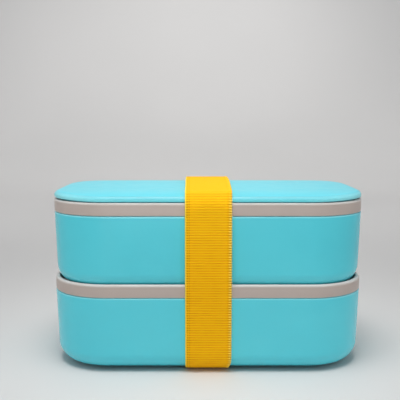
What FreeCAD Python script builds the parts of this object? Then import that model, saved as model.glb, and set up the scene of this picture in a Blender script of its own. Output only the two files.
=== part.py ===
import FreeCAD, Part
import math
import os

os.makedirs("parts", exist_ok=True)

V = FreeCAD.Vector

# ---------------------------------------------------------------- dimensions, mm
# The box stands on z = 0 at the middle of its footprint. X is its length,
# Y its depth (front at -Y), Z is up.
LENGTH = 185.0            # over the rims
DEPTH = 105.0
CORNER_R = 34.0           # corner radius in plan, at the rims
PITCH = 46.9              # height of one tier with its inner lid, as stacked

# tub
FOOT_H = 1.6              # foot ring below the underside
UNDERSIDE = FOOT_H
TUB_TOP = 44.15           # upper edge of the tub, in its own tier
DRAFT = 0.034             # wall slope, just under 2 degrees
WALL = 2.2
FLOOR = 2.4
TUB_BOTTOM_R = 8.9        # outer round between wall and underside
TUB_INNER_R = 6.7
TUB_EDGE_R = 0.9
FOOT_INSET = 14.5
FOOT_W = 2.6
FOOT_NOTCH = 35.0         # gap in the foot ring where the band passes

# inner lid
RIM_BOTTOM = 44.25        # 0.1 above the tub's edge
RIM_TOP = 51.75
RIM_EDGE_R = 1.5          # upper outer edge
RIM_LOW_R = 0.5           # lower outer edge
RIM_WALL_TOP = 2.4
RIM_WALL_LOW = 3.4
PANEL_TOP = 46.8          # the tier above stands 0.1 over it
PANEL_UNDER = 45.3
SKIRT_OUT = 2.95          # inset of the skirt's outer face
SKIRT_IN = 4.75
SKIRT_BOTTOM = 38.6
GROOVE_LOW = 40.4
GROOVE_HIGH = 42.6
GROOVE_IN = 3.9

# seal
SEAL_OUT = 2.62           # inset of the lips
SEAL_LAND = 3.0           # inset between the lips

# vent
VENT_X = 62.0
VENT_WELL_R = 9.0
VENT_WELL_FLOOR = 45.9
VENT_BOSS_R = 10.8
VENT_BOSS_UNDER = 43.8
VENT_HOLE_R = 3.0
VENT_DISC_R = 8.4
VENT_DISC_TOP = 46.6
VENT_STEM_R = 2.6
VENT_BULB_R = 3.8
VENT_BULB_TOP = 42.1
VENT_BULB_LOW = 40.6
AIR_HOLE_R = 0.9
AIR_HOLE_OFF = 5.6
NAIL_NOTCH_R = 4.0

# divider
DIVIDER_X = 22.0
DIVIDER_T = 2.0
DIVIDER_FLANGE_X = 10.0
DIVIDER_FLANGE_T = 1.8
DIVIDER_TOP = 38.0
DIVIDER_GAP = 0.35

# cover
COVER_UNDER = 99.0
COVER_EDGE = 101.75       # height of the crown's border
COVER_CROWN = 2.2
COVER_EDGE_R = 2.1
COVER_TRIM = 0.4          # the cover stands back this far at front and back
COVER_SKIN = 2.2
COVER_SKIRT_OUT = 3.9
COVER_SKIRT_IN = 5.7
COVER_SKIRT_LOW = PITCH + PANEL_TOP + 0.1

# band
BAND_W = 26.7
BAND_T = 1.3
BAND_FRONT = 52.85        # inner face of the upright runs
BAND_WALL_GAP = 0.1
BAND_BEND_R = 4.6         # inner radius over the cover's edge
BAND_ARCH_R = 520.0       # inner radius of the bowed run over the cover
BAND_ARCH_TOP = 106.5


# ---------------------------------------------------------------- helpers
def outline(inset, z, trim=0.0):
    """Rounded rectangle, that far inside the box's plan, at height z, less deep by trim at front and back."""
    a, b, r = LENGTH / 2 - inset, DEPTH / 2 - inset - trim, CORNER_R - inset
    k = r * math.sqrt(0.5)
    edges = []
    for sx, sy in ((1, 1), (-1, 1), (-1, -1), (1, -1)):
        cx, cy = sx * (a - r), sy * (b - r)
        middle = V(cx + sx * k, cy + sy * k, z)
        on_x, on_y = V(sx * a, cy, z), V(cx, sy * b, z)
        first, last = (on_x, on_y) if sx * sy > 0 else (on_y, on_x)
        edges.append(Part.Arc(first, middle, last).toShape())
    sides = []
    for k0 in range(4):
        p = edges[k0].Vertexes[-1].Point
        q = edges[(k0 + 1) % 4].Vertexes[0].Point
        sides += [edges[k0], Part.LineSegment(p, q).toShape()]
    return Part.Wire(sides)


def block(inset, low, high, trim=0.0):
    return Part.Face(outline(inset, low, trim)).extrude(V(0, 0, high - low))


def taper(inset_low, low, inset_high, high):
    return Part.makeLoft([outline(inset_low, low), outline(inset_high, high)], True, True)


def level_edges(shape, z, inset_max=None, inset_min=None):
    """Edges that lie at height z, chosen by how far they are inside the plan."""
    found = []
    for e in shape.Edges:
        box = e.BoundBox
        if abs(box.ZMin - z) < 1e-4 and abs(box.ZMax - z) < 1e-4:
            p = e.valueAt((e.FirstParameter + e.LastParameter) / 2)
            d = plan_inset(p)
            if inset_max is not None and d > inset_max:
                continue
            if inset_min is not None and d < inset_min:
                continue
            found.append(e)
    return found


def plan_inset(p):
    x, y = abs(p.x) - (LENGTH / 2 - CORNER_R), abs(p.y) - (DEPTH / 2 - CORNER_R)
    if x > 0 and y > 0:
        return CORNER_R - math.hypot(x, y)
    return CORNER_R - max(x, y)


def cylinder(r, low, high, x=0.0, y=0.0):
    return Part.makeCylinder(r, high - low, V(x, y, low))


def only_solid(shape):
    shape = shape.removeSplitter()
    assert len(shape.Solids) == 1, len(shape.Solids)
    return shape.Solids[0]


def write(node, shape):
    assert shape.isValid(), node
    shape.exportStep("parts/" + node + ".step")
    box = shape.BoundBox
    print(
        "%-18s %9.1f mm3  x %.2f %.2f  y %.2f %.2f  z %.2f %.2f"
        % (node, shape.Volume, box.XMin, box.XMax, box.YMin, box.YMax, box.ZMin, box.ZMax)
    )


# ---------------------------------------------------------------- tub
def wall_inset(z):
    """Inset of the tub's outer wall at height z of its tier."""
    return DRAFT * (TUB_TOP - z)


def make_tub():
    outer = taper(wall_inset(UNDERSIDE), UNDERSIDE, 0.0, TUB_TOP)
    outer = outer.makeFillet(TUB_BOTTOM_R, level_edges(outer, UNDERSIDE))
    outer = outer.makeFillet(TUB_EDGE_R, level_edges(outer, TUB_TOP))
    low, high = UNDERSIDE + FLOOR, TUB_TOP + 2.0
    inner = taper(wall_inset(low) + WALL, low, wall_inset(high) + WALL, high)
    inner = inner.makeFillet(TUB_INNER_R, level_edges(inner, low))
    tub = outer.cut(inner)

    foot = block(FOOT_INSET, 0.0, UNDERSIDE + 0.4)
    foot = foot.makeFillet(0.4, level_edges(foot, 0.0))
    foot = foot.cut(block(FOOT_INSET + FOOT_W, -1.0, UNDERSIDE + 1.0))
    notch = Part.makeBox(
        FOOT_NOTCH, DEPTH, FOOT_H + 2.0, V(-FOOT_NOTCH / 2, -DEPTH / 2, -1.0)
    )
    foot = foot.cut(notch)
    return only_solid(tub.fuse(foot))


# ---------------------------------------------------------------- inner lid
def make_inner_lid():
    rim = block(0.0, RIM_BOTTOM, RIM_TOP)
    rim = rim.makeFillet(RIM_EDGE_R, level_edges(rim, RIM_TOP))
    rim = rim.makeFillet(RIM_LOW_R, level_edges(rim, RIM_BOTTOM))
    # skirt that plugs into the tub
    body = rim.fuse(block(SKIRT_OUT, SKIRT_BOTTOM, RIM_BOTTOM + 0.5))
    # recess for the tier above
    slope = (RIM_WALL_LOW - RIM_WALL_TOP) / (RIM_TOP - PANEL_TOP)
    top = RIM_TOP + 1.0
    body = body.cut(taper(RIM_WALL_LOW, PANEL_TOP, RIM_WALL_TOP - slope, top))
    # hollow inside the skirt
    body = body.cut(block(SKIRT_IN, SKIRT_BOTTOM - 1.0, PANEL_UNDER))
    # groove for the seal
    ring = block(0.5, GROOVE_LOW, GROOVE_HIGH).cut(block(GROOVE_IN, GROOVE_LOW - 1.0, GROOVE_HIGH + 1.0))
    body = body.cut(ring)
    # vent well with its boss, stem hole, air hole and nail notch
    body = body.fuse(cylinder(VENT_BOSS_R, VENT_BOSS_UNDER, PANEL_UNDER + 0.3, VENT_X))
    body = body.cut(cylinder(VENT_WELL_R, VENT_WELL_FLOOR, PANEL_TOP + 1.0, VENT_X))
    body = body.cut(
        cylinder(NAIL_NOTCH_R, VENT_WELL_FLOOR, PANEL_TOP + 1.0, VENT_X - VENT_WELL_R)
    )
    body = body.cut(cylinder(VENT_HOLE_R, VENT_BOSS_UNDER - 1.0, PANEL_TOP, VENT_X))
    body = body.cut(
        cylinder(AIR_HOLE_R, VENT_BOSS_UNDER - 1.0, PANEL_TOP, VENT_X + AIR_HOLE_OFF)
    )
    return only_solid(body)


def make_seal():
    """Flat ring in the groove with two lips towards the tub's wall."""
    low, high = GROOVE_LOW, GROOVE_HIGH
    lip = 0.7
    ring = block(SEAL_LAND, low, high)
    ring = ring.fuse(taper(SEAL_OUT, low, SEAL_LAND, low + lip))
    ring = ring.fuse(taper(SEAL_OUT, high - lip, SEAL_LAND, high))
    return only_solid(ring.cut(block(GROOVE_IN, low - 1.0, high + 1.0)))


def make_vent_plug():
    disc = cylinder(VENT_DISC_R, VENT_WELL_FLOOR, VENT_DISC_TOP, VENT_X)
    disc = disc.makeFillet(0.3, [e for e in disc.Edges if abs(e.BoundBox.ZMin - VENT_DISC_TOP) < 1e-4])
    stem = cylinder(VENT_STEM_R, VENT_BULB_TOP - 0.2, VENT_WELL_FLOOR + 0.2, VENT_X)
    bulb = Part.makeCone(
        VENT_STEM_R - 0.4, VENT_BULB_R, VENT_BULB_TOP - VENT_BULB_LOW, V(VENT_X, 0, VENT_BULB_LOW)
    )
    return only_solid(disc.fuse(stem).fuse(bulb))


# ---------------------------------------------------------------- divider
def divider_profile(gap):
    """Section of the tub's inside, that much smaller all round, in the YZ plane."""
    low = UNDERSIDE + FLOOR + gap
    high = DIVIDER_TOP

    def half(z):
        return DEPTH / 2 - wall_inset(z) - WALL - gap

    r = TUB_INNER_R - min(gap, 2.0) + 0.6
    pts = [V(0, -half(low), low), V(0, half(low), low), V(0, half(high), high), V(0, -half(high), high)]
    face = Part.Face(Part.makePolygon(pts + [pts[0]]))
    return face, r, low


def divider_plate(gap, thick, high=None):
    face, r, low = divider_profile(gap)
    plate = face.extrude(V(thick, 0, 0))
    plate.translate(V(-thick / 2, 0, 0))
    corners = [
        e for e in plate.Edges
        if e.BoundBox.XLength > thick - 1e-3 and abs(e.BoundBox.ZMax - low) < 1e-3
    ]
    return plate.makeFillet(r, corners)


def make_divider():
    web = divider_plate(DIVIDER_GAP, DIVIDER_T)
    flange = divider_plate(DIVIDER_GAP, DIVIDER_FLANGE_X)
    inside = divider_plate(DIVIDER_GAP + DIVIDER_FLANGE_T, DIVIDER_FLANGE_X + 2.0)
    lid = Part.makeBox(DIVIDER_FLANGE_X + 2.0, DEPTH - 2 * 6.0, 10.0, V(-DIVIDER_FLANGE_X / 2 - 1.0, -DEPTH / 2 + 6.0, DIVIDER_TOP - 4.0))
    flange = flange.cut(inside).cut(lid)
    body = web.fuse(flange)
    body.translate(V(DIVIDER_X, 0, 0))
    return only_solid(body)


# ---------------------------------------------------------------- cover
def crown_solid(drop, low):
    """Everything under the crown's surface, lowered by drop, down to low."""
    xs = [-100.0 + 5.0 * i for i in range(41)]
    ys = [-60.0 + 5.0 * i for i in range(25)]

    def height(x, y):
        u, v = abs(x) / (LENGTH / 2), abs(y) / (DEPTH / 2)
        return COVER_EDGE + COVER_CROWN * (1 - v ** 6) * (1 - 0.5 * u ** 8) - drop

    rows = [[V(x, y, max(height(x, y), COVER_EDGE - drop - 2.0)) for y in ys] for x in xs]
    surface = Part.BSplineSurface()
    surface.interpolate(rows)
    face = surface.toShape()
    return face.extrude(V(0, 0, low - COVER_EDGE - 10.0))


def make_cover():
    top = block(0.0, COVER_UNDER, COVER_EDGE + COVER_CROWN + 3.0, COVER_TRIM)
    top = top.common(crown_solid(0.0, COVER_UNDER))
    top = top.Solids[0]
    rim = [
        e for e in top.Edges
        if e.BoundBox.ZMin > COVER_EDGE - 0.8 and plan_inset(e.valueAt((e.FirstParameter + e.LastParameter) / 2)) < COVER_TRIM + 0.05
    ]
    rim = [e for e in rim if e.BoundBox.ZLength < 1.0]
    top = top.makeFillet(COVER_EDGE_R, rim)
    top = top.makeFillet(0.4, level_edges(top, COVER_UNDER))
    skirt = block(COVER_SKIRT_OUT, COVER_SKIRT_LOW, COVER_UNDER + 0.5)
    body = top.fuse(skirt)
    hollow = block(COVER_SKIRT_IN, COVER_SKIRT_LOW - 1.0, COVER_EDGE + COVER_CROWN)
    hollow = hollow.common(crown_solid(COVER_SKIN, COVER_SKIRT_LOW))
    return only_solid(body.cut(hollow))


# ---------------------------------------------------------------- band
def band_face(grow):
    """Inside of the loop in the YZ plane, grown outwards by grow."""
    tilt = math.atan(DRAFT)
    low_r = TUB_BOTTOM_R + BAND_WALL_GAP + grow
    # middle of the tub's lower round, in the front half
    cz = UNDERSIDE + TUB_BOTTOM_R
    cy = -(DEPTH / 2 - wall_inset(cz)) + TUB_BOTTOM_R / math.cos(tilt)
    bottom = cz - low_r
    # end of that round, where the run up the tub's wall starts
    wall = V(0, cy - low_r * math.cos(tilt), cz - low_r * math.sin(tilt))
    # the run follows the tapered wall until it is plumb in front of the rims
    front = -BAND_FRONT - grow
    knee = V(0, front, wall.z + (wall.y - front) / DRAFT)
    # bend over the cover's edge, tangent to the bowed run
    bend_r, arch_r = BAND_BEND_R + grow, BAND_ARCH_R + grow
    by = front + bend_r
    arch_z = BAND_ARCH_TOP + grow - arch_r
    bz = arch_z + math.sqrt((arch_r - bend_r) ** 2 - by ** 2)
    lean = math.atan2(-by, bz - arch_z)
    bend_end = V(0, by - bend_r * math.sin(lean), bz + bend_r * math.cos(lean))
    a = math.radians(45)

    def mirror(p):
        return V(p.x, -p.y, p.z)

    bend_mid_angle = (math.pi / 2 + lean) / 2
    bend_mid = V(0, by - bend_r * math.sin(bend_mid_angle), bz + bend_r * math.cos(bend_mid_angle))
    low_mid_angle = (math.pi / 2 - tilt) / 2
    low_mid = V(0, cy - low_r * math.sin(low_mid_angle), cz - low_r * math.cos(low_mid_angle))
    bottom_end = V(0, cy, bottom)
    bend_start = V(0, front, bz)
    edges = [
        Part.LineSegment(mirror(bottom_end), bottom_end).toShape(),
        Part.Arc(bottom_end, low_mid, wall).toShape(),
        Part.LineSegment(wall, knee).toShape(),
        Part.LineSegment(knee, bend_start).toShape(),
        Part.Arc(bend_start, bend_mid, bend_end).toShape(),
        Part.Arc(bend_end, V(0, 0, BAND_ARCH_TOP + grow), mirror(bend_end)).toShape(),
        Part.Arc(mirror(bend_end), mirror(bend_mid), mirror(bend_start)).toShape(),
        Part.LineSegment(mirror(bend_start), mirror(knee)).toShape(),
        Part.LineSegment(mirror(knee), mirror(wall)).toShape(),
        Part.Arc(mirror(wall), mirror(low_mid), mirror(bottom_end)).toShape(),
    ]
    return Part.Face(Part.Wire(edges)), sum(e.Length for e in edges)


def make_band():
    outer, outer_len = band_face(BAND_T)
    inner, inner_len = band_face(0.0)
    print("band loop length, middle of its thickness: %.1f mm" % ((outer_len + inner_len) / 2))
    loop = outer.cut(inner)
    band = loop.extrude(V(BAND_W, 0, 0))
    band.translate(V(-BAND_W / 2, 0, 0))
    return band.Solids[0]


# ---------------------------------------------------------------- the pieces
tub = make_tub()
inner_lid = make_inner_lid()
seal = make_seal()
plug = make_vent_plug()
divider = make_divider()
for tier, lift in (("lower", 0.0), ("upper", PITCH)):
    for name, shape in (
        ("container", tub),
        ("inner_lid", inner_lid),
        ("lid_seal", seal),
        ("vent_plug", plug),
        ("divider", divider),
    ):
        piece = shape.copy()
        piece.translate(V(0, 0, lift))
        write(tier + "_" + name, piece)
write("outer_lid", make_cover())
write("elastic_band", make_band())
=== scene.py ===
import math

import bmesh
import bpy
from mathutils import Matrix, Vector


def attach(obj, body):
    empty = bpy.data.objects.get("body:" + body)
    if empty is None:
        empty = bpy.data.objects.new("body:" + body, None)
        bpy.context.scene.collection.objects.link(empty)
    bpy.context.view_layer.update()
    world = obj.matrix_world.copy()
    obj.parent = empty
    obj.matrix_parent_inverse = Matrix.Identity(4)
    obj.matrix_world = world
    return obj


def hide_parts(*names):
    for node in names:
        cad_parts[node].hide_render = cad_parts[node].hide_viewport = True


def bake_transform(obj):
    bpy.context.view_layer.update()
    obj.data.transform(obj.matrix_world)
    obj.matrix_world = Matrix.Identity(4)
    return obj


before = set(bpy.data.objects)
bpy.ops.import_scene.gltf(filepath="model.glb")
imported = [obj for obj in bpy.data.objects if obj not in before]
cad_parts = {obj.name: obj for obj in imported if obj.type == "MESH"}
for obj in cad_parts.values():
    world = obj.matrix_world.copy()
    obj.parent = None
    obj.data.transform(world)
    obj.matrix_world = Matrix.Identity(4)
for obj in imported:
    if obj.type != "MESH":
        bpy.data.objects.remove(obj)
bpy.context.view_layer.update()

MM = 0.001
scene = bpy.context.scene

# ------------------------------------------------------------------ sizes, mm
HALF_X, HALF_Y, CORNER = 92.5, 52.5, 34.0
SKEL_X, SKEL_Y = HALF_X - CORNER, HALF_Y - CORNER
PITCH = 46.9
UNDERSIDE, TUB_TOP, DRAFT, WALL, FLOOR = 1.6, 44.15, 0.034, 2.2, 2.4
TUB_BOTTOM_R, TUB_END_R, TUB_EDGE_R = 8.9, 11.0, 0.9
FOOT_INSET, FOOT_W, FOOT_NOTCH = 14.5, 2.6, 35.0
RIM_BOTTOM, RIM_TOP, RIM_WALL_TOP, RIM_WALL_LOW = 44.25, 51.75, 2.4, 3.4
PANEL_TOP, PANEL_UNDER = 46.8, 45.3
SKIRT_OUT, SKIRT_IN, SKIRT_BOTTOM = 2.95, 4.75, 38.6
GROOVE_LOW, GROOVE_HIGH, GROOVE_IN = 40.4, 42.6, 3.9
VENT_X, VENT_WELL_R, VENT_WELL_FLOOR = 62.0, 9.0, 45.9
VENT_BOSS_R, VENT_BOSS_UNDER = 10.8, 43.8
VENT_HOLE_R, AIR_HOLE_R, AIR_HOLE_OFF, NAIL_NOTCH_R = 3.0, 0.9, 5.6, 4.0
COVER_UNDER, COVER_EDGE, COVER_CROWN = 98.98, 101.75, 2.2
COVER_EDGE_R, COVER_EDGE_TILT, COVER_SKIN, COVER_TRIM = 2.9, math.radians(14.0), 2.2, 0.4
COVER_SKIRT_OUT, COVER_SKIRT_IN, COVER_SKIRT_LOW, COVER_END_LIFT = 3.9, 5.7, 93.8, 0.55
BAND_T, BAND_FRONT, BAND_WALL_GAP = 1.3, 52.85, -0.07
BAND_BEND_R, BAND_ARCH_R, BAND_ARCH_TOP = 2.0, 520.0, 106.5
BAND_EASE_R, BAND_EASE = 17.0, math.radians(30.0)
RIB = 1.45


# ------------------------------------------------------------------ mesh tools
def outline_samples(n_arc=24, n_long=22, n_short=8):
    """Points of the plan, counter-clockwise: a point of the inner rectangle and the way out from it."""
    corners = ((1, 1, 0), (-1, 1, 90), (-1, -1, 180), (1, -1, 270))
    out = []
    for k, (sx, sy, start) in enumerate(corners):
        cx, cy = sx * SKEL_X, sy * SKEL_Y
        for i in range(n_arc + 1):
            t = math.radians(start + 90.0 * i / n_arc)
            out.append((cx, cy, math.cos(t), math.sin(t)))
        tx, ty, _ = corners[(k + 1) % 4]
        t = math.radians(start + 90.0)
        n = n_long if k in (0, 2) else n_short
        for i in range(1, n):
            f = i / n
            out.append((cx + (tx * SKEL_X - cx) * f, cy + (ty * SKEL_Y - cy) * f, math.cos(t), math.sin(t)))
    return out


OUTLINE = outline_samples()


def smooth(t):
    t = max(0.0, min(1.0, t))
    return t * t * (3 - 2 * t)


def plan(sample, o):
    """Point o outside the plan's outline (negative is inside)."""
    r = CORNER + o
    return sample[0] + r * sample[2], sample[1] + r * sample[3]


def trimmed(sample, trim):
    """The same place on a plan that is less deep by trim at the front and at the back."""
    return sample[0], sample[1] - math.copysign(trim, sample[1]) * min(1.0, abs(sample[1]) / SKEL_Y), sample[2], sample[3]


def rounded(points, support=0.45):
    """Profile of (o, z, radius) corners with its corners rounded and a loop each side of every round."""
    out = []
    last = len(points) - 1
    for k, (px, pz, r) in enumerate(points):
        if k in (0, last) or r <= 0:
            out.append((px, pz))
            continue
        ax, az = points[k - 1][0] - px, points[k - 1][1] - pz
        bx, bz = points[k + 1][0] - px, points[k + 1][1] - pz
        la, lb = math.hypot(ax, az), math.hypot(bx, bz)
        ax, az, bx, bz = ax / la, az / la, bx / lb, bz / lb
        turn = math.acos(max(-1.0, min(1.0, ax * bx + az * bz))) / 2
        d = r / math.tan(turn)
        mx, mz = ax + bx, az + bz
        lm = math.hypot(mx, mz)
        cx, cz = px + mx / lm * r / math.sin(turn), pz + mz / lm * r / math.sin(turn)
        sx, sz, ex, ez = px + ax * d, pz + az * d, px + bx * d, pz + bz * d
        a0, a1 = math.atan2(sz - cz, sx - cx), math.atan2(ez - cz, ex - cx)
        da = (a1 - a0 + math.pi) % (2 * math.pi) - math.pi
        n = max(4, int(math.ceil(abs(da) / math.radians(9.0 if r > 2 else 18.0))))
        if d + support < la * 0.5:
            out.append((px + ax * (d + support), pz + az * (d + support)))
        for i in range(n + 1):
            a = a0 + da * i / n
            out.append((cx + r * math.cos(a), cz + r * math.sin(a)))
        if d + support < lb * 0.5:
            out.append((px + bx * (d + support), pz + bz * (d + support)))
    return out


def ring(bm, o, z, samples=None):
    pts = samples or OUTLINE
    verts = []
    for s in pts:
        x, y = plan(s, o)
        verts.append(bm.verts.new((x * MM, y * MM, z * MM)))
    return verts


def bridge(bm, a, b, closed=True):
    n = len(a)
    for i in range(n if closed else n - 1):
        j = (i + 1) % n
        bm.faces.new((a[i], a[j], b[j], b[i]))


def loft(bm, profile, samples=None, closed=True):
    rings = [ring(bm, o, z, samples) for o, z in profile]
    for a, b in zip(rings, rings[1:]):
        bridge(bm, a, b, closed)
    return rings


def to_centre(bm, border, steps, height=None):
    """Closes a ring towards the middle with smaller copies of it."""
    prev = border
    for t in steps:
        cur = []
        for v in border:
            x, y = v.co.x * t, v.co.y * t
            z = height(x / MM, y / MM) * MM if height else v.co.z
            cur.append(bm.verts.new((x, y, z)))
        bridge(bm, prev, cur)
        prev = cur
    z = height(0.0, 0.0) * MM if height else border[0].co.z
    c = bm.verts.new((0.0, 0.0, z))
    n = len(prev)
    for i in range(n):
        bm.faces.new((prev[i], prev[(i + 1) % n], c))


def loop_edges(bm, verts):
    out = []
    for i, v in enumerate(verts):
        w = verts[(i + 1) % len(verts)]
        e = bm.edges.get((v, w))
        out.append(e or bm.edges.new((v, w)))
    return out


def fill_between(bm, *loops):
    edges = []
    for l in loops:
        edges += loop_edges(bm, l)
    bmesh.ops.triangle_fill(bm, use_beauty=True, use_dissolve=False, edges=edges)


def circle(bm, x, y, r, z, n):
    return [
        bm.verts.new(((x + r * math.cos(2 * math.pi * i / n)) * MM, (y + r * math.sin(2 * math.pi * i / n)) * MM, z * MM))
        for i in range(n)
    ]


def finish_mesh(bm, name, material, weighted=True):
    bmesh.ops.remove_doubles(bm, verts=bm.verts, dist=1e-7)
    bmesh.ops.recalc_face_normals(bm, faces=bm.faces)
    for f in bm.faces:
        f.smooth = True
    mesh = bpy.data.meshes.new(name)
    bm.to_mesh(mesh)
    bm.free()
    obj = bpy.data.objects.new(name, mesh)
    scene.collection.objects.link(obj)
    mesh.materials.append(material)
    if weighted:
        mod = obj.modifiers.new("even_shading", "WEIGHTED_NORMAL")
        mod.mode = "FACE_AREA"
        mod.weight = 60
    return obj


# ------------------------------------------------------------------ material tools
class Nodes:
    """Small helper that builds one node material."""

    def __init__(self, name):
        self.mat = bpy.data.materials.new(name)
        self.mat.use_nodes = True
        self.tree = self.mat.node_tree
        self.shader = self.tree.nodes["Principled BSDF"]
        self.coord = self.tree.nodes.new("ShaderNodeTexCoord")

    def add(self, kind, **props):
        node = self.tree.nodes.new(kind)
        for k, v in props.items():
            setattr(node, k, v)
        return node

    def link(self, a, b):
        self.tree.links.new(a, b)

    def set(self, **sockets):
        for k, v in sockets.items():
            self.shader.inputs[k.replace("_", " ")].default_value = v

    def noise(self, scale, detail=2.0, rough=0.5, coord=None, distortion=0.0):
        n = self.add("ShaderNodeTexNoise")
        n.inputs["Scale"].default_value = scale
        n.inputs["Detail"].default_value = detail
        n.inputs["Roughness"].default_value = rough
        n.inputs["Distortion"].default_value = distortion
        self.link(coord or self.coord.outputs["Object"], n.inputs["Vector"])
        return n.outputs["Fac"]

    def ramp(self, fac, stops, mode="EASE"):
        r = self.add("ShaderNodeValToRGB")
        r.color_ramp.interpolation = mode
        el = r.color_ramp.elements
        while len(el) > 1:
            el.remove(el[-1])
        el[0].position, el[0].color = stops[0][0], (*stops[0][1], 1.0)
        for p, c in stops[1:]:
            e = el.new(p)
            e.color = (*c, 1.0)
        self.link(fac, r.inputs["Fac"])
        return r.outputs["Color"]

    def span(self, fac, low, high, a=0.0, b=1.0):
        m = self.add("ShaderNodeMapRange")
        m.inputs["From Min"].default_value = a
        m.inputs["From Max"].default_value = b
        m.inputs["To Min"].default_value = low
        m.inputs["To Max"].default_value = high
        self.link(fac, m.inputs["Value"])
        return m.outputs["Result"]

    def math(self, op, a, b=None, c=None):
        m = self.add("ShaderNodeMath", operation=op)
        for i, v in enumerate((a, b, c)):
            if v is None:
                continue
            if isinstance(v, (int, float)):
                m.inputs[i].default_value = v
            else:
                self.link(v, m.inputs[i])
        return m.outputs["Value"]

    def mix(self, fac, a, b, blend="MIX"):
        m = self.add("ShaderNodeMix", data_type="RGBA", blend_type=blend)
        if isinstance(fac, (int, float)):
            m.inputs["Factor"].default_value = fac
        else:
            self.link(fac, m.inputs["Factor"])
        for sock, v in ((m.inputs[6], a), (m.inputs[7], b)):
            if isinstance(v, tuple):
                sock.default_value = (*v, 1.0)
            else:
                self.link(v, sock)
        return m.outputs[2]

    def bump(self, height, strength, distance, normal=None):
        b = self.add("ShaderNodeBump")
        b.inputs["Strength"].default_value = strength
        b.inputs["Distance"].default_value = distance
        self.link(height, b.inputs["Height"])
        if normal is not None:
            self.link(normal, b.inputs["Normal"])
        return b.outputs["Normal"]


def moulded_plastic(name, deep, main, light, worn_and_highlight, rough, ior=1.49, spec=0.5, turn=None, ends=None, lip_highlight=None, wear_and_highlight=0.34):
    """Satin injection-moulded plastic: cloudy pigment, fine spark-eroded texture, rubbed edges coloured pale as wear
    and painted highlight, and optional painted highlight, light and shade on the edges.
    """
    n = Nodes(name)
    cloud = n.noise(17.0, 3.0, 0.55, distortion=0.4)
    fine = n.noise(520.0, 2.0, 0.6)
    grain = n.noise(2600.0, 2.0, 0.55)
    waves = n.noise(34.0, 2.0, 0.4)
    colour = n.ramp(cloud, ((0.30, deep), (0.52, main), (0.74, light)))
    colour = n.mix(n.span(fine, 0.0, 0.16, 0.35, 0.75), colour, light)
    # rubbed edges: coloured pale, partly wear and partly a painted highlight
    edge = n.add("ShaderNodeNewGeometry").outputs["Pointiness"]
    rub_and_highlight = n.math("MULTIPLY", n.span(edge, 0.0, 1.0, 0.51, 0.58), n.span(n.noise(95.0, 4.0, 0.6), 0.15, 0.9, 0.3, 0.7))
    rub_and_highlight = n.math("MINIMUM", n.math("MAXIMUM", rub_and_highlight, 0.0), 1.0)
    colour = n.mix(n.math("MULTIPLY", rub_and_highlight, wear_and_highlight), colour, worn_and_highlight)
    if lip_highlight:
        # painted highlight: the upper edge of each tier is coloured pale
        place = n.add("ShaderNodeSeparateXYZ")
        n.link(n.coord.outputs["Object"], place.inputs["Vector"])
        tier = n.math("MODULO", place.outputs["Z"], PITCH * MM)
        mark = n.math("MULTIPLY", n.span(tier, 0.0, 1.0, lip_highlight[0] * MM, lip_highlight[1] * MM), n.span(tier, 1.0, 0.0, lip_highlight[2] * MM, (lip_highlight[2] + 0.1) * MM))
        mark = n.math("MULTIPLY", mark, n.span(n.noise(60.0, 3.0, 0.55), 0.7, 1.0, 0.35, 0.65))
        colour = n.mix(n.math("MULTIPLY", mark, lip_highlight[3]), colour, worn_and_highlight)
    if turn:
        # painted light and shade: the colour follows which way the surface faces, where it turns from level to upright
        way = n.add("ShaderNodeSeparateXYZ")
        n.link(n.add("ShaderNodeNewGeometry").outputs["Normal"], way.inputs["Vector"])
        painted_light_and_shade = n.ramp(way.outputs["Z"], turn, "LINEAR")
        if ends:
            # painted light: paler still at both ends
            spot = n.add("ShaderNodeSeparateXYZ")
            n.link(n.coord.outputs["Object"], spot.inputs["Vector"])
            far = n.span(n.math("ABSOLUTE", spot.outputs["X"]), 0.0, 1.0, 0.052, 0.082)
            painted_light_and_shade = n.mix(far, painted_light_and_shade, n.ramp(way.outputs["Z"], ends, "LINEAR"))
        painted_light_and_shade = n.mix(n.span(fine, 0.0, 0.16, 0.35, 0.75), painted_light_and_shade, light)
        colour = n.mix(n.span(way.outputs["Z"], 1.0, 0.0, 0.90, 1.0), colour, painted_light_and_shade)
    n.link(colour, n.shader.inputs["Base Color"])
    r = n.span(n.noise(130.0, 4.0, 0.6), rough[0], rough[1], 0.3, 0.7)
    r = n.math("ADD", r, n.math("MULTIPLY", rub_and_highlight, 0.004))
    n.link(r, n.shader.inputs["Roughness"])
    normal = n.bump(waves, 0.008, 0.0004)
    normal = n.bump(fine, 0.03, 0.00004, normal)
    normal = n.bump(grain, 0.06, 0.00002, normal)
    n.link(normal, n.shader.inputs["Normal"])
    n.set(IOR=ior, Specular_IOR_Level=spec)
    return n.mat


TURQUOISE = moulded_plastic(
    "turquoise_satin_plastic",
    (0.092, 0.660, 0.775), (0.099, 0.686, 0.800), (0.110, 0.710, 0.820), (0.60, 0.86, 0.90),
    (0.20, 0.258), lip_highlight=(TUB_TOP - 1.3, TUB_TOP - 0.4, TUB_TOP + 0.1, 0.28),
)
COVER = moulded_plastic(
    "turquoise_cover_plastic",
    (0.106, 0.600, 0.712), (0.114, 0.622, 0.735), (0.124, 0.645, 0.755), (0.30, 0.74, 0.82),
    (0.285, 0.345), spec=0.18,
    # turn: painted light and shade on the edge, by which way it faces
    turn=((0.0, (0.150, 0.680, 0.770)), (0.45, (0.165, 0.610, 0.695)), (0.80, (0.160, 0.500, 0.583)), (0.97, (0.125, 0.548, 0.650))),
    # ends: painted light, paler at both ends
    ends=((0.0, (0.300, 0.800, 0.870)), (0.45, (0.270, 0.740, 0.815)), (0.80, (0.205, 0.610, 0.700)), (0.97, (0.135, 0.590, 0.695))),
)
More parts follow.
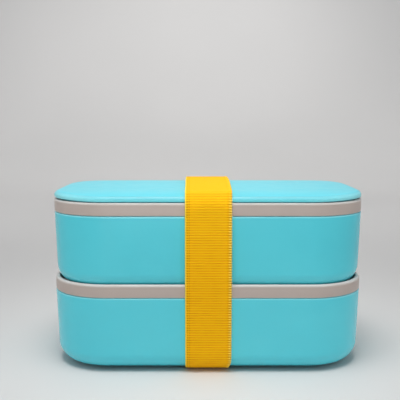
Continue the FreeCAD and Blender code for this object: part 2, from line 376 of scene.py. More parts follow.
GREY = moulded_plastic(
    "warm_grey_satin_plastic",
    (0.490, 0.416, 0.377), (0.513, 0.436, 0.396), (0.536, 0.458, 0.418), (0.78, 0.85, 0.87),
    (0.285, 0.36), spec=0.2, wear_and_highlight=0.5, lip_highlight=(RIM_TOP - PITCH - 1.7, RIM_TOP - PITCH - 0.3, RIM_TOP - PITCH + 0.1, 0.42),
)


def silicone():
    n = Nodes("milky_silicone")
    cloud = n.noise(60.0, 3.0, 0.5)
    speck = n.noise(900.0, 2.0, 0.6)
    colour = n.ramp(cloud, ((0.3, (0.60, 0.62, 0.60)), (0.7, (0.70, 0.71, 0.69))))
    colour = n.mix(n.span(speck, 0.0, 0.12, 0.45, 0.8), colour, (0.5, 0.5, 0.48))
    n.link(colour, n.shader.inputs["Base Color"])
    n.link(n.span(speck, 0.42, 0.58, 0.3, 0.7), n.shader.inputs["Roughness"])
    n.link(n.bump(speck, 0.15, 0.00005), n.shader.inputs["Normal"])
    n.set(IOR=1.41, Subsurface_Weight=0.25, Subsurface_Scale=0.003)
    return n.mat


SILICONE = silicone()


def woven_elastic(name="yellow_woven_elastic"):
    """Ribbed elastic webbing. u runs across the width and v along the band, in metres, in the mesh's own map."""
    n = Nodes(name)
    uv = n.add("ShaderNodeUVMap", uv_map="weave")
    sep = n.add("ShaderNodeSeparateXYZ")
    n.link(uv.outputs["UV"], sep.inputs["Vector"])
    across, along = sep.outputs["X"], sep.outputs["Y"]
    # rib phase: 0 in the valleys, 1 on the crowns
    phase = n.math("MULTIPLY", along, math.pi / (STEP * MM))
    crown = n.math("ABSOLUTE", n.math("SINE", phase))
    # yarns that lie along the ribs' length, two or three to a rib
    yarn = n.math("ABSOLUTE", n.math("SINE", n.math("MULTIPLY", along, 3 * math.pi / (STEP * MM))))
    # binding warps, a fine column every 0.9 mm, offset from rib to rib
    row = n.math("FLOOR", n.math("DIVIDE", along, STEP * MM))
    shift = n.math("MULTIPLY", n.math("MODULO", row, 2.0), 0.5)
    column = n.math("ADD", n.math("DIVIDE", across, 0.92 * MM), shift)
    warp = n.math("ABSOLUTE", n.math("SINE", n.math("MULTIPLY", column, math.pi)))
    scale = n.add("ShaderNodeVectorMath", operation="MULTIPLY")
    scale.inputs[1].default_value = (420.0, 1900.0, 1.0)
    n.link(uv.outputs["UV"], scale.inputs[0])
    fibre = n.noise(1.0, 3.0, 0.6, scale.outputs["Vector"])
    patch = n.noise(34.0, 2.0, 0.5, uv.outputs["UV"])
    # ribs show more in some stretches than in others
    loose = n.span(n.noise(150.0, 2.0, 0.5, uv.outputs["UV"]), 0.66, 1.05, 0.35, 0.65)
    shown = n.math("ADD", n.math("MULTIPLY", n.math("SUBTRACT", crown, 0.8), loose), 0.8)
    # painted shade: the rib valleys are coloured darker than the crowns
    colour = n.ramp(
        shown,
        ((0.0, (0.76, 0.22, 0.001)), (0.35, (0.97, 0.375, 0.002)), (0.70, (1.0, 0.51, 0.003)), (1.0, (1.0, 0.575, 0.004))),
        "LINEAR",
    )
    dark = n.math("MULTIPLY", n.math("POWER", n.math("SUBTRACT", 1.0, warp), 3.0), n.math("SUBTRACT", 1.0, crown))
    colour = n.mix(n.math("MULTIPLY", dark, 0.45), colour, (0.55, 0.20, 0.001))
    colour = n.mix(n.span(fibre, 0.0, 0.25, 0.35, 0.80), colour, (1.0, 0.60, 0.015))
    colour = n.mix(n.span(patch, 0.0, 0.16, 0.35, 0.75), colour, (0.93, 0.46, 0.002))
    # painted shade: the top run is coloured darker
    reach = n.math("ABSOLUTE", n.math("SUBTRACT", along, PATH.half * MM))
    colour = n.mix(n.span(reach, 0.70, 0.0, 0.049, 0.056), colour, (0.88, 0.38, 0.012))
    # painted light: the upright runs are coloured paler just under the bend, fading downwards
    colour = n.mix(n.span(reach, 0.26, 0.0, 0.056, 0.092), colour, (1.0, 0.64, 0.010))
    # woven edges: x is the distance from the edge, y tells the right edge from the left
    off = n.add("ShaderNodeUVMap", uv_map="edge")
    sep2 = n.add("ShaderNodeSeparateXYZ")
    n.link(off.outputs["UV"], sep2.inputs["Vector"])
    away, side = sep2.outputs["X"], sep2.outputs["Y"]
    left = n.math("SUBTRACT", 1.0, side)
    # a deeper column beside each edge
    deep = n.ramp(n.span(away, 0.0, 1.0, 0.0, 0.0040), ((0.42, (0, 0, 0)), (0.60, (1, 1, 1)), (0.82, (0, 0, 0))))
    colour = n.mix(n.math("MULTIPLY", deep, 0.45), colour, (0.98, 0.45, 0.002))
    # the left edge is a smooth pale cord with a row of dark dots inside it
    cord = n.math("MULTIPLY", n.span(away, 1.0, 0.0, 0.0004, 0.0009), left)
    colour = n.mix(n.math("MULTIPLY", cord, 0.75), colour, (1.0, 0.80, 0.10))
    dots = n.ramp(n.span(away, 0.0, 1.0, 0.0, 0.0040), ((0.20, (0, 0, 0)), (0.32, (1, 1, 1)), (0.44, (0, 0, 0)), (0.52, (0, 0, 0)), (0.63, (0.7, 0.7, 0.7)), (0.76, (0, 0, 0))))
    dots = n.math("MULTIPLY", n.math("MULTIPLY", dots, left), n.span(crown, 1.0, 0.0, 0.25, 0.85))
    colour = n.mix(n.math("MULTIPLY", dots, 0.92), colour, (0.36, 0.14, 0.001))
    # the right edge is a comb of pale loops, one to a rib
    low, high = ((PATH.half - rib_of(*at)) * MM for at in ((-53.5, 98.5), (-51.5, 103.6)))
    front = n.math("MULTIPLY", side, n.span(reach, 0.15, 1.0, high, low))
    comb = n.math("MULTIPLY", n.span(away, 1.0, 0.0, 0.0008, 0.0022), front)
    slits = n.math("MULTIPLY", n.span(away, 1.0, 0.0, 0.0014, 0.0032), front)
    colour = n.mix(n.math("MULTIPLY", comb, n.span(crown, 0.0, 0.9, 0.45, 0.9)), colour, (1.0, 0.77, 0.15))
    colour = n.mix(n.math("MULTIPLY", slits, n.span(crown, 0.72, 0.0, 0.1, 0.60)), colour, (0.56, 0.20, 0.001))
    n.link(colour, n.shader.inputs["Base Color"])
    n.link(n.span(fibre, 0.62, 0.86, 0.3, 0.7), n.shader.inputs["Roughness"])
    normal = n.bump(yarn, 0.30, 0.00010)
    normal = n.bump(warp, 0.22, 0.00010, normal)
    normal = n.bump(fibre, 0.28, 0.00008, normal)
    n.link(normal, n.shader.inputs["Normal"])
    n.set(IOR=1.42, Specular_IOR_Level=0.12, Sheen_Weight=0.12, Sheen_Roughness=0.5, Sheen_Tint=(1.0, 0.72, 0.12, 1.0))
    return n.mat


def sewing_thread():
    n = Nodes("yellow_sewing_thread")
    wave = n.add("ShaderNodeTexWave", wave_type="BANDS", bands_direction="DIAGONAL")
    wave.inputs["Scale"].default_value = 900.0
    wave.inputs["Distortion"].default_value = 1.5
    n.link(n.coord.outputs["Object"], wave.inputs["Vector"])
    ply = wave.outputs["Fac"]
    colour = n.ramp(ply, ((0.1, (0.55, 0.23, 0.003)), (0.9, (0.90, 0.47, 0.02))))
    n.link(colour, n.shader.inputs["Base Color"])
    n.link(n.span(ply, 0.5, 0.7), n.shader.inputs["Roughness"])
    n.link(n.bump(ply, 0.4, 0.00006), n.shader.inputs["Normal"])
    n.set(Sheen_Weight=0.2, Sheen_Roughness=0.4)
    return n.mat


THREAD = sewing_thread()


# ------------------------------------------------------------------ tubs
def make_tub(name, lift):
    bm = bmesh.new()

    def outer(z):
        return -DRAFT * (TUB_TOP - z)

    low = UNDERSIDE + FLOOR
    inner_top = outer(TUB_TOP) - WALL

    def profile(r):
        pts = rounded([
            (-22.0, UNDERSIDE, 0),
            (outer(UNDERSIDE), UNDERSIDE, r),
            (outer(TUB_TOP), TUB_TOP, TUB_EDGE_R),
            (inner_top, TUB_TOP, 0.45),
            (outer(low) - WALL, low, r - WALL),
            (-22.0, low, 0),
        ])
        # extra loops up the walls keep the taper even
        dense = []
        for (a, za), (b, zb) in zip(pts, pts[1:]):
            dense.append((a, za))
            if abs(zb - za) > 16.0:
                for i in range(1, 4):
                    f = i / 4
                    dense.append((a + (b - a) * f, za + (zb - za) * f))
        dense.append(pts[-1])
        return dense

    # the bottom's round is tighter along the front and back than round the ends
    shapes = [profile(TUB_END_R + (TUB_BOTTOM_R - TUB_END_R) * smooth(abs(t[3]))) for t in OUTLINE]
    rings = []
    for k in range(len(shapes[0])):
        verts = []
        for t, shape in zip(OUTLINE, shapes):
            x, y = plan(t, shape[k][0])
            verts.append(bm.verts.new((x * MM, y * MM, (shape[k][1] + lift) * MM)))
        rings.append(verts)
    for a, b in zip(rings, rings[1:]):
        bridge(bm, a, b)
    to_centre(bm, rings[0], (0.8, 0.55, 0.3, 0.1))
    to_centre(bm, rings[-1], (0.8, 0.55, 0.3, 0.1))

    # foot ring in two halves, open where the band passes
    path = [(FOOT_NOTCH / 2 + (SKEL_X - FOOT_NOTCH / 2) * i / 8, -SKEL_Y, 0.0, -1.0) for i in range(8)]
    path += [(SKEL_X, -SKEL_Y, math.cos(t), math.sin(t)) for t in (math.radians(-90 + 90 * i / 20) for i in range(21))]
    path += [(SKEL_X, -SKEL_Y + 2 * SKEL_Y * i / 6, 1.0, 0.0) for i in range(1, 6)]
    path += [(SKEL_X, SKEL_Y, math.cos(t), math.sin(t)) for t in (math.radians(90 * i / 20) for i in range(21))]
    path += [(SKEL_X + (FOOT_NOTCH / 2 - SKEL_X) * i / 8, SKEL_Y, 0.0, 1.0) for i in range(1, 9)]
    section = rounded([
        (-FOOT_INSET, UNDERSIDE + 0.5, 0), (-FOOT_INSET, 0.0, 0.45),
        (-FOOT_INSET - FOOT_W, 0.0, 0.45), (-FOOT_INSET - FOOT_W, UNDERSIDE + 0.5, 0),
    ], 0.2)
    for turn in (1.0, -1.0):
        samples = [(turn * a, turn * b, turn * c, turn * d) for a, b, c, d in path]
        rs = [ring(bm, o, z + lift, samples) for o, z in section]
        for a, b in zip(rs, rs[1:] + rs[:1]):
            bridge(bm, a, b, False)
        bm.faces.new([r[0] for r in rs])
        bm.faces.new([r[-1] for r in rs])

    # witness of the moulding gate on the underside
    d = 0.38 if lift else 0.05
    gate = [
        circle(bm, 0, 0, r, z + lift, 28)
        for r, z in ((3.4, UNDERSIDE + 0.15), (3.3, UNDERSIDE - 0.6 * d), (2.9, UNDERSIDE - d), (2.2, UNDERSIDE - d), (1.9, UNDERSIDE - 0.4 * d))
    ]
    for a, b in zip(gate, gate[1:]):
        bridge(bm, a, b)
    bm.faces.new(gate[0])
    bm.faces.new(gate[-1])
    return finish_mesh(bm, name, TURQUOISE)


# ------------------------------------------------------------------ inner lids
def make_inner_lid(name, lift):
    bm = bmesh.new()
    profile = rounded([
        (-7.0, PANEL_TOP, 0),
        (-RIM_WALL_LOW, PANEL_TOP, 0.9),
        (-RIM_WALL_TOP, RIM_TOP, 0.6),
        (0.0, RIM_TOP, 1.25),
        (0.0, RIM_BOTTOM, 0.48),
        (-SKIRT_OUT, RIM_BOTTOM, 0.3),
        (-SKIRT_OUT, GROOVE_HIGH, 0.15),
        (-GROOVE_IN, GROOVE_HIGH, 0.1),
        (-GROOVE_IN, GROOVE_LOW, 0.1),
        (-SKIRT_OUT, GROOVE_LOW, 0.15),
        (-SKIRT_OUT, SKIRT_BOTTOM, 0.55),
        (-SKIRT_IN, SKIRT_BOTTOM, 0.55),
        (-SKIRT_IN, PANEL_UNDER, 0.8),
        (-8.5, PANEL_UNDER, 0),
    ], 0.35)
    rings = loft(bm, [(o, z + lift) for o, z in profile])
    top, under = rings[0], rings[-1]

    # outline of the vent well: a disc with a nail notch on one side
    def well(grow, z):
        big, small = VENT_WELL_R + grow, NAIL_NOTCH_R + grow
        d = VENT_WELL_R
        # angle on the big circle where the notch meets it
        cos_a = (d * d + big * big - small * small) / (2 * d * big)
        a = math.acos(cos_a)
        cos_b = (d * d + small * small - big * big) / (2 * d * small)
        b = math.acos(cos_b)
        pts = []
        n = 56
        for i in range(n + 1):
            t = -math.pi + a + (2 * math.pi - 2 * a) * i / n
            pts.append((VENT_X + big * math.cos(t), big * math.sin(t)))
        m = 20
        for i in range(1, m):
            t = b + (2 * math.pi - 2 * b) * i / m
            pts.append((VENT_X - d + small * math.cos(t), small * math.sin(t)))
        return [bm.verts.new((x * MM, y * MM, (z + lift) * MM)) for x, y in pts]

    walls = [well(g, z) for g, z in (
        (0.45, PANEL_TOP), (0.22, PANEL_TOP - 0.03), (0.06, PANEL_TOP - 0.16), (0.0, PANEL_TOP - 0.34),
        (0.0, VENT_WELL_FLOOR + 0.16), (-0.14, VENT_WELL_FLOOR),
    )]
    for a, b in zip(walls, walls[1:]):
        bridge(bm, a, b)
    fill_between(bm, top, walls[0])
    # holes through the well's floor
    hole = [circle(bm, VENT_X, 0, r, z + lift, 36) for r, z in (
        (VENT_HOLE_R + 0.2, VENT_WELL_FLOOR), (VENT_HOLE_R, VENT_WELL_FLOOR - 0.2),
        (VENT_HOLE_R, VENT_BOSS_UNDER + 0.2), (VENT_HOLE_R + 0.2, VENT_BOSS_UNDER))]
    air = [circle(bm, VENT_X + AIR_HOLE_OFF, 0, r, z + lift, 20) for r, z in (
        (AIR_HOLE_R + 0.12, VENT_WELL_FLOOR), (AIR_HOLE_R, VENT_WELL_FLOOR - 0.12),
        (AIR_HOLE_R, VENT_BOSS_UNDER + 0.12), (AIR_HOLE_R + 0.12, VENT_BOSS_UNDER))]
    for tube in (hole, air):
        for a, b in zip(tube, tube[1:]):
            bridge(bm, a, b)
    fill_between(bm, walls[-1], hole[0], air[0])
    boss = [circle(bm, VENT_X, 0, r, z + lift, 64) for r, z in (
        (VENT_BOSS_R + 0.6, PANEL_UNDER), (VENT_BOSS_R + 0.18, PANEL_UNDER - 0.12), (VENT_BOSS_R, PANEL_UNDER - 0.45),
        (VENT_BOSS_R, VENT_BOSS_UNDER + 0.45), (VENT_BOSS_R - 0.13, VENT_BOSS_UNDER + 0.13), (VENT_BOSS_R - 0.45, VENT_BOSS_UNDER))]
    for a, b in zip(boss, boss[1:]):
        bridge(bm, a, b)
    fill_between(bm, under, boss[0])
    fill_between(bm, boss[-1], hole[-1], air[-1])
    return finish_mesh(bm, name, GREY)


# ------------------------------------------------------------------ cover
def crown(x, y):
    u, v = abs(x) / HALF_X, abs(y) / HALF_Y
    return COVER_EDGE + COVER_CROWN * (1 - v ** 6) * (1 - 0.5 * u ** 8)


def make_cover(name):
    bm = bmesh.new()
    # where the crown meets the edge's round, sample by sample; the round stops short of upright
    # it is softer along front and back than round the ends
    border = [trimmed(s, COVER_TRIM) for s in OUTLINE]
    seats = []
    for s in border:
        def h(i):
            return crown(*plan(s, -i))
        end = smooth(abs(s[2]) / 0.75)
        r, tilt = COVER_EDGE_R - 0.2 * end, COVER_EDGE_TILT * (1 - 0.5 * end)
        i_t = r
        for _ in range(6):
            slope = math.atan((h(i_t + 0.05) - h(i_t - 0.05)) / 0.1)
            i_t = r * math.cos(tilt) - r * math.sin(slope)
        seats.append((r, tilt, slope, h(i_t) - r * math.cos(slope)))
    lower = rounded([
        (-0.02, COVER_UNDER + 0.36, 0),
        (-0.06, COVER_UNDER, 0.25),
        (-COVER_SKIRT_OUT, COVER_UNDER, 0.25),
        (-COVER_SKIRT_OUT, COVER_SKIRT_LOW, 0.5),
        (-COVER_SKIRT_IN, COVER_SKIRT_LOW, 0.5),
        (-COVER_SKIRT_IN, COVER_EDGE - COVER_SKIN - 1.2, 0),
    ], 0.3)
    # top edge: from the upright wall round to the crown
    n = 10
    edge_rings = []
    for k in range(n + 1):
        verts = []
        for s, (r, tilt, slope, zc) in zip(border, seats):
            a = tilt + (math.pi / 2 - slope - tilt) * k / n
            i, z = r * math.cos(tilt) - r * math.cos(a), zc + r * math.sin(a)
            x, y = plan(s, -i)
            verts.append(bm.verts.new((x * MM, y * MM, z * MM)))
        edge_rings.append(verts)
    for a, b in zip(edge_rings, edge_rings[1:]):
        bridge(bm, a, b)
    prev = edge_rings[-1]
    for inset in (4.4, 5.4, 7.0, 9.0, 12.0):
        cur = []
        for s in border:
            x, y = plan(s, -inset)
            cur.append(bm.verts.new((x * MM, y * MM, crown(x, y) * MM)))
        bridge(bm, prev, cur)
        prev = cur
    to_centre(bm, prev, [1 - 0.072 * i for i in range(1, 13)], crown)
    # wall, flange, skirt and ceiling
    rings = loft(bm, lower, border)
    # a fingertip's room: the flange stands off a little more at both ends
    for verts in rings:
        for v in verts:
            if v.co.z > (COVER_UNDER - 0.6) * MM:
                v.co.z += COVER_END_LIFT * smooth((abs(v.co.x) / MM - 60.0) / 26.0) * MM
    bridge(bm, rings[0], edge_rings[0])
    prev = rings[-1]
    for inset, drop in ((COVER_SKIRT_IN + 0.12, 0.55), (COVER_SKIRT_IN + 0.5, 0.18), (COVER_SKIRT_IN + 1.2, 0.0), (COVER_SKIRT_IN + 2.4, 0.0), (14.0, 0.0)):
        cur = []
        for s in border:
            x, y = plan(s, -inset)
            cur.append(bm.verts.new((x * MM, y * MM, (crown(x, y) - COVER_SKIN - drop) * MM)))
        bridge(bm, prev, cur)
        prev = cur
    to_centre(bm, prev, [1 - 0.1 * i for i in range(1, 9)], lambda x, y: crown(x, y) - COVER_SKIN)
    return finish_mesh(bm, name, COVER)


# ------------------------------------------------------------------ band
class BandPath:
    """Middle line of the loop, from the middle of the bottom run forwards and round over the top."""

    def __init__(self, grow):
        tilt = math.atan(DRAFT)
        low_r = TUB_BOTTOM_R + BAND_WALL_GAP + grow
        cz = UNDERSIDE + TUB_BOTTOM_R
        cy = -(HALF_Y - DRAFT * (TUB_TOP - cz)) + TUB_BOTTOM_R / math.cos(tilt)
        bottom = cz - low_r
        wall = (cy - low_r * math.cos(tilt), cz - low_r * math.sin(tilt))
        front = -BAND_FRONT - grow
        knee_z = wall[1] + (wall[0] - front) / DRAFT
        # a gentle turn at the top of the front run, then a tight one into the arch
        ease_r, ease = BAND_EASE_R + grow, BAND_EASE
        bend_r, arch_r = BAND_BEND_R + grow, BAND_ARCH_R + grow
        by = front + ease_r - (ease_r - bend_r) * math.cos(ease)
        arch_z = BAND_ARCH_TOP + grow - arch_r
        bz = arch_z + math.sqrt((arch_r - bend_r) ** 2 - by ** 2)
        ez = bz - (ease_r - bend_r) * math.sin(ease)
        lean = math.atan2(-by, bz - arch_z)
        self.parts = []

        def line(p, q):
            l = math.hypot(q[0] - p[0], q[1] - p[1])
            self.parts.append(("line", l, p, ((q[0] - p[0]) / l, (q[1] - p[1]) / l)))

        def arc(c, r, a0, a1):
            self.parts.append(("arc", r * abs(a1 - a0), c, r, a0, a1))

        line((0.0, bottom), (cy, bottom))
        arc((cy, cz), low_r, -math.pi / 2, -math.pi + tilt)
        line(wall, (front, knee_z))
        line((front, knee_z), (front, ez))
        arc((front + ease_r, ez), ease_r, math.pi, math.pi - ease)
        arc((by, bz), bend_r, math.pi - ease, math.pi / 2 + lean)
        arc((0.0, arch_z), arch_r, math.pi / 2 + lean, math.pi / 2)
        self.half = sum(p[1] for p in self.parts)

    def at(self, s):
        """(y, z, way along, way out) at length s from the bottom's middle; past the top it comes down the back."""
        total = 2 * self.half
        s = s % total
        flip = s > self.half
        if flip:
            s = total - s
        for p in self.parts:
            if s <= p[1] + 1e-9 or p is self.parts[-1]:
                break
            s -= p[1]
        if p[0] == "line":
            y, z = p[2][0] + p[3][0] * s, p[2][1] + p[3][1] * s
            ty, tz = p[3]
        else:
            _, length, c, r, a0, a1 = p
            a = a0 + (a1 - a0) * min(1.0, s / length)
            y, z = c[0] + r * math.cos(a), c[1] + r * math.sin(a)
            k = -1.0 if a1 < a0 else 1.0
            ty, tz = -k * math.sin(a), k * math.cos(a)
        # the way out is to the right of the way along, seen with the front on the left
        ny, nz = -tz, ty
        if flip:
            y, ny, ty = -y, -ny, ty
            tz = -tz
        return y, z, (ty, tz), (ny, nz)


PATH = BandPath(BAND_T / 2)
RIBS = int(round(PATH.half / RIB))
STEP = PATH.half / RIBS
SUB = 6


def height_to_rib(z, low=0.0):
    """Rib boundary on the front's upright run nearest to height z."""
    best = min(range(RIBS), key=lambda k: abs(PATH.at(k * STEP)[1] - z) + (0 if PATH.at(k * STEP)[0] < -45 else 1e3))
    return best


def rib_of(y, z):
    return min(range(2 * RIBS), key=lambda k: (PATH.at(k * STEP)[0] - y) ** 2 + (PATH.at(k * STEP)[1] - z) ** 2) * STEP


ELASTIC = woven_elastic()

# left and right edge of the band along the loop: it lies a little askew
EDGE_KEYS = sorted([
    (0.0, -13.0, 12.0),
    (rib_of(-44.0, 0.7), -13.15, 12.0),
    (rib_of(-47.5, 2.2), -13.2, 12.35),
    (rib_of(-51.6, 6.8), -13.2, 13.4),
    (rib_of(-53.0, 12.0), -13.2, 13.45),
    (rib_of(-53.5, 50.0), -13.2, 13.45),
    (rib_of(-53.5, 98.0), -13.2, 13.40),
    (rib_of(-40.0, 105.6), -13.3, 13.5),
    (rib_of(0.0, 107.1), -13.85, 13.75),
    (rib_of(40.0, 105.6), -14.4, 14.0),
    (rib_of(53.5, 98.0), -14.2, 13.8),
    (rib_of(53.5, 50.0), -13.7, 13.4),
    (rib_of(53.0, 12.0), -13.3, 13.0),
    (rib_of(42.5, 0.7), -13.0, 12.5),
])


def edges_at(s):
    total = 2 * PATH.half
    s = s % total
    keys = EDGE_KEYS + [(EDGE_KEYS[0][0] + total, EDGE_KEYS[0][1], EDGE_KEYS[0][2])]
    for a, b in zip(keys, keys[1:]):
        if a[0] <= s <= b[0]:
            t = smooth((s - a[0]) / (b[0] - a[0]))
            return a[1] + (b[1] - a[1]) * t, a[2] + (b[2] - a[2]) * t
    return keys[0][1], keys[0][2]


def wobble(k, seed):
    v = math.sin(k * 12.9898 + seed * 78.233) * 43758.5453
    return (v - math.floor(v)) * 2 - 1


# (distance from the woven edge, valley half-thickness, rib height): a smooth cord on the left, loops on the right
CORD = ((2.30, 0.42, 0.17), (1.85, 0.40, 0.14), (1.45, 0.30, 0.22), (1.10, 0.40, 0.16), (0.72, 0.44, 0.12), (0.38, 0.36, 0.10), (0.13, 0.20, 0.08))
LOOPS = ((2.30, 0.42, 0.17), (1.85, 0.36, 0.26), (1.42, 0.32, 0.36), (1.05, 0.28, 0.42), (0.68, 0.24, 0.42), (0.36, 0.17, 0.36), (0.13, 0.09, 0.22))
CORE = 15


def band_row(j, u, lift=0.0):
    """One row of points round the band's section: the outer face left to right, then the inner face back."""
    s = (j + u) * STEP
    left, right = edges_at(s)
    bump = max(0.0, math.sin(math.pi * u)) ** 0.72 if 0 < u < 1 else 0.0
    tall = 1.0 + 0.10 * wobble(j % (2 * RIBS), 1.0)
    cols = []
    for e, v, h in reversed(CORD):
        cols.append((left + e, e, v, h))
    a, b = left + CORD[0][0], right - LOOPS[0][0]
    for i in range(1, CORE):
        f = i / CORE
        cols.append((a + (b - a) * f, None, 0.43, 0.17))
    for e, v, h in LOOPS:
        cols.append((right - e, -e, v, h))
    out, inner = [], []
    pull_l, pull_r = 0.10 * (1 - bump), 0.42 * (1 - bump)
    for x, e, v, h in cols:
        if e is not None:
            x += math.copysign((pull_l if e > 0 else pull_r) * max(0.0, 1 - abs(e) / 1.5), e)
        # the ribs wander a little across the width
        ds = 0.055 * math.sin(x * 0.55 + 1.7 * wobble(j, 2.0)) * math.sin(math.pi * u)
        y, z, t, n = PATH.at(s + ds)
        o = v + h * bump * tall + lift
        i = -(v * 0.98 + 0.40 * h * bump) + lift
        ss = s + ds
        mark = (abs(e) if e is not None else 4.0, 1.0 if x > 0 else 0.0)
        out.append(((x, y + n[0] * o, z + n[1] * o), (x, ss), mark))
        inner.append(((x, y + n[0] * i, z + n[1] * i), (x, ss), mark))
    y, z, t, n = PATH.at(s)
    lx, rx = left + pull_l, right - pull_r
    l = ((lx, y + n[0] * lift, z + n[1] * lift), (lx, s), (0.0, 0.0))
    r = ((rx, y + n[0] * lift, z + n[1] * lift), (rx, s), (0.0, 1.0))
    return [l] + out + [r] + inner[::-1]


def band_strip(name, j0, j1, lift=0.0):
    """Closed strip of band from rib boundary j0 to j1."""
    bm = bmesh.new()
    weave = bm.loops.layers.uv.new("weave")
    margin = bm.loops.layers.uv.new("edge")
    info = {}
    rows = []
    for j in range(j0, j1):
        for m in range(SUB):
            rows.append(band_row(j, m / SUB, lift))
    rows.append(band_row(j1, 0.0, lift))
    grid = []
    for row in rows:
        verts = []
        for p, uv, e in row:
            v = bm.verts.new((p[0] * MM, p[1] * MM, p[2] * MM))
            info[v] = (uv, e)
            verts.append(v)
        grid.append(verts)
    for a, b in zip(grid, grid[1:]):
        bridge(bm, a, b)
    bm.faces.new(grid[0])
    bm.faces.new(grid[-1])
    bmesh.ops.recalc_face_normals(bm, faces=bm.faces)
    for f in bm.faces:
        f.smooth = len(f.verts) == 4
        for l in f.loops:
            uv, e = info[l.vert]
            l[weave].uv = (uv[0] * MM, uv[1] * MM)
            l[margin].uv = (e[0] * MM, e[1])
    mesh = bpy.data.meshes.new(name)
    bm.to_mesh(mesh)
    bm.free()
    obj = bpy.data.objects.new(name, mesh)
    scene.collection.objects.link(obj)
    mesh.materials.append(ELASTIC)
    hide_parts("elastic_band")
    return obj


def tube(bm, points, radius, sides=8):
    """Round thread along points, closed at both ends."""
    rings = []
    up = Vector((1, 0, 0))
    for i, p in enumerate(points):
        a, b = points[max(0, i - 1)], points[min(len(points) - 1, i + 1)]
        t = (b - a).normalized()
        side = t.cross(up)
        side = side.normalized() if side.length > 1e-6 else Vector((0, 1, 0))
        other = t.cross(side)
        rings.append([
            bm.verts.new((p + (side * math.cos(2 * math.pi * k / sides) + other * math.sin(2 * math.pi * k / sides)) * radius) * MM)
            for k in range(sides)
        ])
    for a, b in zip(rings, rings[1:]):
        bridge(bm, a, b)
    bm.faces.new(rings[0])
    bm.faces.new(rings[-1])


# ------------------------------------------------------------------ assembly
SLOTS = {"tub": "tub_plastic", "lid": "lid_plastic"}
for tier, lift, tub_body, lid_body in (
    ("lower", 0.0, "base", "lower_lid"),
    ("upper", PITCH, "upper_tier", "upper_lid"),
):
    tub = make_tub(tier + "_tub_shell", lift)
    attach(tub, tub_body)
    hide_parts(tier + "_container")
    lid = make_inner_lid(tier + "_lid_shell", lift)
    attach(lid, lid_body)
    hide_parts(tier + "_inner_lid")

cover = make_cover("cover_shell")
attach(cover, "cover")
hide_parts("outer_lid")

for node in ("lower_lid_seal", "upper_lid_seal", "lower_vent_plug", "upper_vent_plug"):
    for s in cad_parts[node].material_slots:
        s.material = SILICONE
for node in ("lower_divider", "upper_divider"):
    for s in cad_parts[node].material_slots:
        s.material = GREY

# the band: its bottom run rides with the base and its top run with the cover; the runs between are separate pieces
front_cuts = [height_to_rib(z) for z in (34.0, 49.5, 65.0, 80.5, 96.0)]
back_cuts = list(front_cuts)


base_run = band_strip("band_bottom", -back_cuts[0], front_cuts[0])
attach(base_run, "base")
top_run = band_strip("band_top", front_cuts[4], 2 * RIBS - back_cuts[4])
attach(top_run, "cover")
for k in range(4):
    for side, cuts in (("front", front_cuts), ("back", back_cuts)):
        if side == "front":
            piece = band_strip("band_front_%d" % (k + 1), cuts[k], cuts[k + 1])
        else:
            piece = band_strip("band_back_%d" % (k + 1), 2 * RIBS - cuts[k + 1], 2 * RIBS - cuts[k])
        za, zb = PATH.at(cuts[k] * STEP)[1], PATH.at(cuts[k + 1] * STEP)[1]
        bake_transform(piece)

# sewn lap where the band's two ends meet, low on the back
lap_low, lap_high = height_to_rib(13.5), height_to_rib(31.0)
lap = band_strip("band_lap", -lap_high, -lap_low, 1.24)
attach(lap, "base")
bm = bmesh.new()
for z0 in (17.0, 27.5):
    for i in range(13):
        x0 = -11.6 + i * 1.82
        for lean in (1, -1):
            pts = []
            for k in range(9):
                f = k / 8
                z = z0 + lean * (f - 0.5) * 3.2
                s = -rib_of(-53.3, z)
                y, zz, t, n = PATH.at(s)
                rise = 1.24 + 0.60 + 0.30 * math.sin(math.pi * f) ** 0.6
                pts.append(Vector((x0 + f * 0.91 + (0.91 if lean < 0 else 0.0), y + n[0] * rise, z)))
            tube(bm, pts, 0.23)
stitches = finish_mesh(bm, "band_stitches", THREAD, weighted=False)
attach(stitches, "base")
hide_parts("elastic_band")


# ------------------------------------------------------------------ stage
def make_stage():
    bm = bmesh.new()
    profile = [(-4.0 + 0.25 * i, 0.0) for i in range(20)]
    for i in range(17):
        a = math.radians(-90 + 90 * i / 16)
        profile.append((1.0 + 0.9 * math.cos(a), 0.9 + 0.9 * math.sin(a)))
    profile += [(1.9, 1.4), (1.9, 2.2), (1.9, 3.2)]
    rows = []
    for y, z in profile:
        rows.append([bm.verts.new((x, y, z)) for x in (-4.0, -2.0, -1.0, 0.0, 1.0, 2.0, 4.0)])
    for a, b in zip(rows, rows[1:]):
        bridge(bm, a, b, False)
    n = Nodes("pale_sweep")
    haze = n.noise(1.6, 2.0, 0.5)
    tooth = n.noise(900.0, 2.0, 0.5)
    colour = n.ramp(haze, ((0.3, (0.600, 0.603, 0.603)), (0.7, (0.625, 0.627, 0.627))))
    n.link(colour, n.shader.inputs["Base Color"])
    n.link(n.span(tooth, 0.62, 0.74), n.shader.inputs["Roughness"])
    n.link(n.bump(tooth, 0.05, 0.00005), n.shader.inputs["Normal"])
    n.set(IOR=1.35)
    obj = finish_mesh(bm, "floor_sweep", n.mat, weighted=False)
    return obj


make_stage()


def area(name, place, target, size, power, colour):
    light = bpy.data.lights.new(name, "AREA")
    light.shape = "RECTANGLE"
    light.size, light.size_y = size
    light.energy = power
    light.color = colour
    obj = bpy.data.objects.new(name, light)
    obj.location = place
    obj.rotation_euler = (Vector(target) - Vector(place)).to_track_quat("-Z", "Y").to_euler()
    scene.collection.objects.link(obj)
    return obj


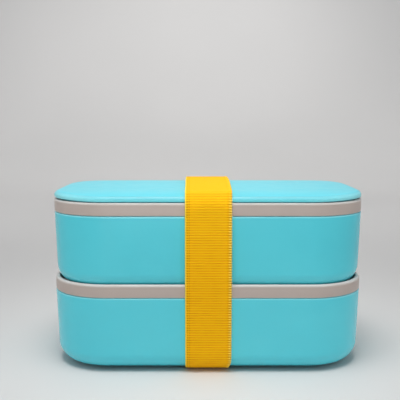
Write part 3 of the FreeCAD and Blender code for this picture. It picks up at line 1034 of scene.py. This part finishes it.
key = area("softbox_key", (-0.03, -0.158, 0.68), (0.0, -0.03, 0.05), (0.34, 0.33), 0.535, (1.0, 0.985, 0.97))
key.data.spread = math.radians(60.0)
front = area("softbox_front", (-0.12, -1.30, 0.12), (0.0, -0.05, 0.291), (0.80, 0.16), 0.42, (1.0, 0.985, 0.97))
front.data.spread = math.radians(26.0)
back = area("softbox_back", (0.0, 1.25, 3.00), (0.0, 1.26, 0.0), (2.0, 1.5), 5.4, (1.0, 0.965, 0.945))
back.data.spread = math.radians(40.0)
wash = area("softbox_wash", (-0.12, 0.80, 1.80), (-0.12, 1.90, 0.56), (1.2, 0.3), 1.2, (1.0, 0.965, 0.945))
wash.data.spread = math.radians(50.0)

floor = area("strip_floor", (0.0, 0.47, 2.0), (0.0, 0.47, 0.0), (2.0, 0.1), 0.42, (1.0, 0.975, 0.96))
floor.data.spread = math.radians(22.0)

# a pale tent: brighter walls left and right than in front and above
world = bpy.data.worlds.new("studio")
world.use_nodes = True
tree = world.node_tree
way = tree.nodes.new("ShaderNodeTexCoord")
part = tree.nodes.new("ShaderNodeSeparateXYZ")
tree.links.new(way.outputs["Generated"], part.inputs["Vector"])
square = tree.nodes.new("ShaderNodeMath")
square.operation = "MULTIPLY"
tree.links.new(part.outputs["X"], square.inputs[0])
tree.links.new(part.outputs["X"], square.inputs[1])
sky = tree.nodes.new("ShaderNodeValToRGB")
sky.color_ramp.interpolation = "LINEAR"
sky.color_ramp.elements[0].position, sky.color_ramp.elements[0].color = 0.0, (0.31, 0.315, 0.32, 1.0)
sky.color_ramp.elements[1].position, sky.color_ramp.elements[1].color = 1.0, (0.94, 0.945, 0.95, 1.0)
tree.links.new(square.outputs["Value"], sky.inputs["Fac"])
tree.links.new(sky.outputs["Color"], tree.nodes["Background"].inputs["Color"])
tree.nodes["Background"].inputs["Strength"].default_value = 1.0
scene.world = world
scene.view_settings.view_transform = "Standard"
scene.view_settings.look = "None"

# ------------------------------------------------------------------ camera
cam = bpy.data.cameras.new("camera")
cam.sensor_fit = "HORIZONTAL"
cam.sensor_width = 36.0
cam.lens = 61.2
cam.clip_start, cam.clip_end = 0.01, 50.0
camera = bpy.data.objects.new("camera", cam)
camera.location = (-4.68 * MM, -429.55 * MM, 143.32 * MM)
camera.rotation_euler = (math.pi / 2 - 0.1135, 0.0, 0.0)
scene.collection.objects.link(camera)
scene.camera = camera

bpy.context.view_layer.update()
